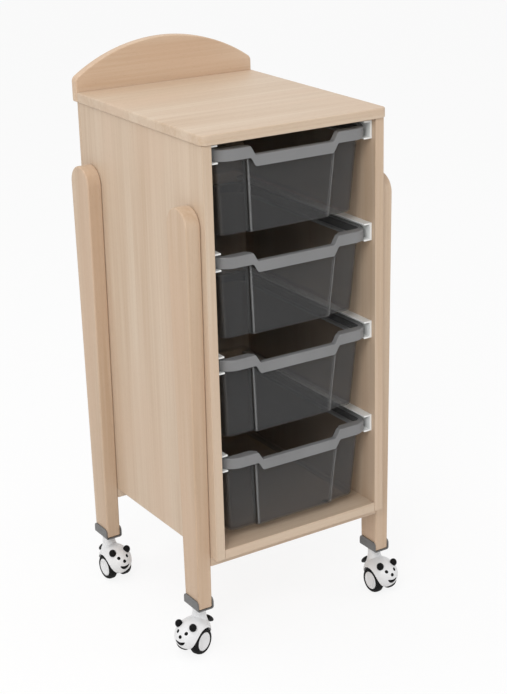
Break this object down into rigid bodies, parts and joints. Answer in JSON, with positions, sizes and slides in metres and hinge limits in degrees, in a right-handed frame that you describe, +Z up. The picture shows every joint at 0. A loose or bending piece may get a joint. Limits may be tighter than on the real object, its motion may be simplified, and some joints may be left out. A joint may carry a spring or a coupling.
{
  "type": "classroom tray storage unit",
  "caption": "Tall narrow classroom tray trolley: beech board carcass with an arched back board, smoked deep trays in side runners, tapered outer legs and braked swivel castors.",
  "frame": {"origin": "on the floor, under the middle of the unit's overall box", "axes": "+X to the right of a person facing the trays, +Y towards the back board, +Z up"},
  "size_m": [0.5058, 0.464, 1.0297],
  "materials": {
    "beech_board": "satin beech-decor board with eased matching edges",
    "smoked_tray": "clear smoked grey moulding, polished walls and a satin rim",
    "runner_plastic": "white extruded plastic",
    "grey_shoe": "dark grey satin paint",
    "stem_steel": "zinc plated",
    "castor_white": "white moulded plastic, soft gloss",
    "castor_black": "black moulded plastic",
    "tyre_black": "soft black tread"
  },
  "bodies": {
    "carcass": {"side_panel_left": "beech_board", "side_panel_right": "beech_board", "bottom_panel": "beech_board", "back_panel": "beech_board", "top_panel": "beech_board", "back_upstand": "beech_board", "leg_front_left": "beech_board", "leg_front_right": "beech_board", "leg_rear_left": "beech_board", "leg_rear_right": "beech_board", "cross_rail_front": "beech_board", "cross_rail_rear": "beech_board", "shoe_front_left": "grey_shoe", "shoe_front_right": "grey_shoe", "shoe_rear_left": "grey_shoe", "shoe_rear_right": "grey_shoe", "runner_1_left": "runner_plastic", "runner_1_right": "runner_plastic", "runner_2_left": "runner_plastic", "runner_2_right": "runner_plastic", "runner_3_left": "runner_plastic", "runner_3_right": "runner_plastic", "runner_4_left": "runner_plastic", "runner_4_right": "runner_plastic", "castor_stem_front_left": "stem_steel", "castor_stem_front_right": "stem_steel", "castor_stem_rear_left": "stem_steel", "castor_stem_rear_right": "stem_steel"},
    "tray_1": {"tray_1": "smoked_tray"},
    "tray_2": {"tray_2": "smoked_tray"},
    "tray_3": {"tray_3": "smoked_tray"},
    "tray_4": {"tray_4": "smoked_tray"},
    "castor_front_left": {"castor_hood_front_left": "castor_white", "castor_axle_front_left": "stem_steel"},
    "brake_front_left": {"brake_pedal_front_left": "castor_black"},
    "wheel_front_left_left": {"wheel_hub_front_left_left": "castor_white", "tyre_front_left_left": "tyre_black"},
    "wheel_front_left_right": {"wheel_hub_front_left_right": "castor_white", "tyre_front_left_right": "tyre_black"},
    "castor_front_right": {"castor_hood_front_right": "castor_white", "castor_axle_front_right": "stem_steel"},
    "brake_front_right": {"brake_pedal_front_right": "castor_black"},
    "wheel_front_right_left": {"wheel_hub_front_right_left": "castor_white", "tyre_front_right_left": "tyre_black"},
    "wheel_front_right_right": {"wheel_hub_front_right_right": "castor_white", "tyre_front_right_right": "tyre_black"},
    "castor_rear_left": {"castor_hood_rear_left": "castor_white", "castor_axle_rear_left": "stem_steel"},
    "brake_rear_left": {"brake_pedal_rear_left": "castor_black"},
    "wheel_rear_left_left": {"wheel_hub_rear_left_left": "castor_white", "tyre_rear_left_left": "tyre_black"},
    "wheel_rear_left_right": {"wheel_hub_rear_left_right": "castor_white", "tyre_rear_left_right": "tyre_black"},
    "castor_rear_right": {"castor_hood_rear_right": "castor_white", "castor_axle_rear_right": "stem_steel"},
    "brake_rear_right": {"brake_pedal_rear_right": "castor_black"},
    "wheel_rear_right_left": {"wheel_hub_rear_right_left": "castor_white", "tyre_rear_right_left": "tyre_black"},
    "wheel_rear_right_right": {"wheel_hub_rear_right_right": "castor_white", "tyre_rear_right_right": "tyre_black"}
  },
  "joints": [
    {"name": "tray_1_slide", "type": "slide", "parent": "carcass", "child": "tray_1", "axis": [0, -1, 0], "range_m": [0, 0.3]},
    {"name": "tray_2_slide", "type": "slide", "parent": "carcass", "child": "tray_2", "axis": [0, -1, 0], "range_m": [0, 0.3]},
    {"name": "tray_3_slide", "type": "slide", "parent": "carcass", "child": "tray_3", "axis": [0, -1, 0], "range_m": [0, 0.3]},
    {"name": "tray_4_slide", "type": "slide", "parent": "carcass", "child": "tray_4", "axis": [0, -1, 0], "range_m": [0, 0.3]},
    {"name": "castor_front_left_swivel", "type": "hinge", "parent": "carcass", "child": "castor_front_left", "pos_m": [-0.1954, -0.1715, 0.06], "axis": [0, 0, 1], "continuous": true},
    {"name": "brake_front_left_press", "type": "hinge", "parent": "castor_front_left", "child": "brake_front_left", "pos_m": [-0.18755, -0.16817, 0.052], "axis": [-0.3907, 0.9205, 0], "range_deg": [0, 15]},
    {"name": "wheel_front_left_left_spin", "type": "hinge", "parent": "castor_front_left", "child": "wheel_front_left_left", "pos_m": [-0.21335, -0.17912, 0.025], "axis": [0.3907, -0.9205, 0], "continuous": true},
    {"name": "wheel_front_left_right_spin", "type": "hinge", "parent": "castor_front_left", "child": "wheel_front_left_right", "pos_m": [-0.21335, -0.17912, 0.025], "axis": [0.3907, -0.9205, 0], "continuous": true},
    {"name": "castor_front_right_swivel", "type": "hinge", "parent": "carcass", "child": "castor_front_right", "pos_m": [0.1954, -0.1715, 0.06], "axis": [0, 0, 1], "continuous": true},
    {"name": "brake_front_right_press", "type": "hinge", "parent": "castor_front_right", "child": "brake_front_right", "pos_m": [0.1954, -0.16298, 0.052], "axis": [-1, 0, 0], "range_deg": [0, 15]},
    {"name": "wheel_front_right_left_spin", "type": "hinge", "parent": "castor_front_right", "child": "wheel_front_right_left", "pos_m": [0.1954, -0.191, 0.025], "axis": [1, 0, 0], "continuous": true},
    {"name": "wheel_front_right_right_spin", "type": "hinge", "parent": "castor_front_right", "child": "wheel_front_right_right", "pos_m": [0.1954, -0.191, 0.025], "axis": [1, 0, 0], "continuous": true},
    {"name": "castor_rear_left_swivel", "type": "hinge", "parent": "carcass", "child": "castor_rear_left", "pos_m": [-0.1954, 0.1765, 0.06], "axis": [0, 0, 1], "continuous": true},
    {"name": "brake_rear_left_press", "type": "hinge", "parent": "castor_rear_left", "child": "brake_rear_left", "pos_m": [-0.1957, 0.18502, 0.052], "axis": [-0.9994, -0.0349, 0], "range_deg": [0, 15]},
    {"name": "wheel_rear_left_left_spin", "type": "hinge", "parent": "castor_rear_left", "child": "wheel_rear_left_left", "pos_m": [-0.19472, 0.15701, 0.025], "axis": [0.9994, 0.0349, 0], "continuous": true},
    {"name": "wheel_rear_left_right_spin", "type": "hinge", "parent": "castor_rear_left", "child": "wheel_rear_left_right", "pos_m": [-0.19472, 0.15701, 0.025], "axis": [0.9994, 0.0349, 0], "continuous": true},
    {"name": "castor_rear_right_swivel", "type": "hinge", "parent": "carcass", "child": "castor_rear_right", "pos_m": [0.1954, 0.1765, 0.06], "axis": [0, 0, 1], "continuous": true},
    {"name": "brake_rear_right_press", "type": "hinge", "parent": "castor_rear_right", "child": "brake_rear_right", "pos_m": [0.18755, 0.17983, 0.052], "axis": [-0.3907, -0.9205, 0], "range_deg": [0, 15]},
    {"name": "wheel_rear_right_left_spin", "type": "hinge", "parent": "castor_rear_right", "child": "wheel_rear_right_left", "pos_m": [0.21335, 0.16888, 0.025], "axis": [0.3907, 0.9205, 0], "continuous": true},
    {"name": "wheel_rear_right_right_spin", "type": "hinge", "parent": "castor_rear_right", "child": "wheel_rear_right_right", "pos_m": [0.21335, 0.16888, 0.025], "axis": [0.3907, 0.9205, 0], "continuous": true}
  ]
}
